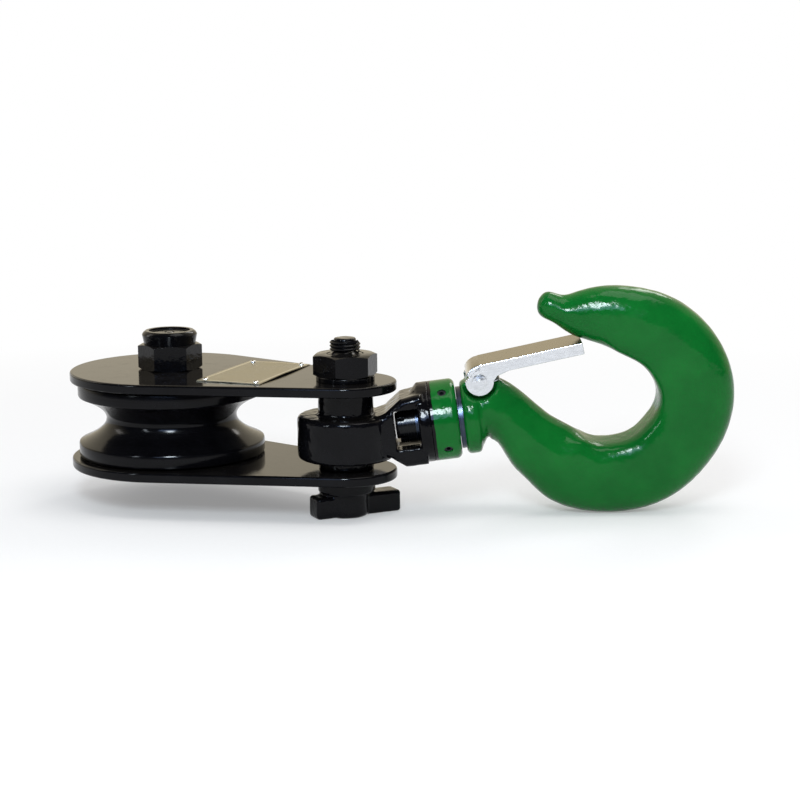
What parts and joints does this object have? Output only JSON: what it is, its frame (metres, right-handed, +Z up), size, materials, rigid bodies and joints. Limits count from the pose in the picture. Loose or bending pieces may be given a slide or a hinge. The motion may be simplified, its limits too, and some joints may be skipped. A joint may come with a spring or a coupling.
{
  "type": "snatch block",
  "caption": "Rigging pulley block with steel side plates, a grooved sheave, a handled bolt, and a swivelling green hook with a spring latch.",
  "frame": {"origin": "the middle of the sheave, on its axis and halfway between the side plates", "axes": "+Z up the sheave's axis towards the lock nut, +X to the bolt that carries the yoke"},
  "size_m": [0.3937, 0.1649, 0.138],
  "materials": {
    "black_enamel": "gloss",
    "green_enamel": "gloss",
    "bare_steel": "machined",
    "zinc_steel": "bright zinc",
    "label_metal": "painted gloss",
    "bronze": "satin",
    "nylon": "satin"
  },
  "bodies": {
    "frame": {"upper_side_plate": "black_enamel", "lower_side_plate": "black_enamel", "upper_thrust_washer": "bronze", "lower_thrust_washer": "bronze", "centre_pin": "black_enamel", "grease_fitting": "zinc_steel", "pin_keeper": "black_enamel", "lock_nut": "black_enamel", "nut_insert": "nylon", "name_plate": "label_metal", "name_plate_rivets": "label_metal", "bolt": "black_enamel", "bolt_nut": "black_enamel", "lock_washer": "black_enamel"},
    "sheave": {"sheave": "black_enamel", "sheave_bush": "bronze"},
    "yoke": {"yoke": "black_enamel", "yoke_bush": "bronze", "bearing_collar": "green_enamel", "collar_grub_screws": "bare_steel"},
    "hook": {"hook": "green_enamel", "shank_nut": "bare_steel", "shank_nut_pin": "bare_steel", "nut_washer": "bare_steel", "thrust_washer": "bare_steel", "latch_pin": "zinc_steel", "latch_spring": "zinc_steel"},
    "latch": {"latch": "zinc_steel"}
  },
  "joints": [
    {"name": "sheave_spin", "type": "hinge", "parent": "frame", "child": "sheave", "pos_m": [0, 0, 0], "axis": [0, 0, 1], "continuous": true},
    {"name": "yoke_swing", "type": "hinge", "parent": "frame", "child": "yoke", "pos_m": [0.119, 0, 0], "axis": [0, 0, 1], "range_deg": [-113.5, 66.5]},
    {"name": "hook_swivel", "type": "hinge", "parent": "yoke", "child": "hook", "pos_m": [0.119, 0, -0.002], "axis": [0.9102, 0.3958, 0.1219], "continuous": true},
    {"name": "latch_hinge", "type": "hinge", "parent": "hook", "child": "latch", "pos_m": [0.19233, 0.0297, 0.0308], "axis": [-0.407, 0.9093, 0.0865], "range_deg": [0, 36], "stiffness_Nm_per_rad": 0.35, "springref_deg": -28.65, "deforming": ["latch_spring"]}
  ]
}
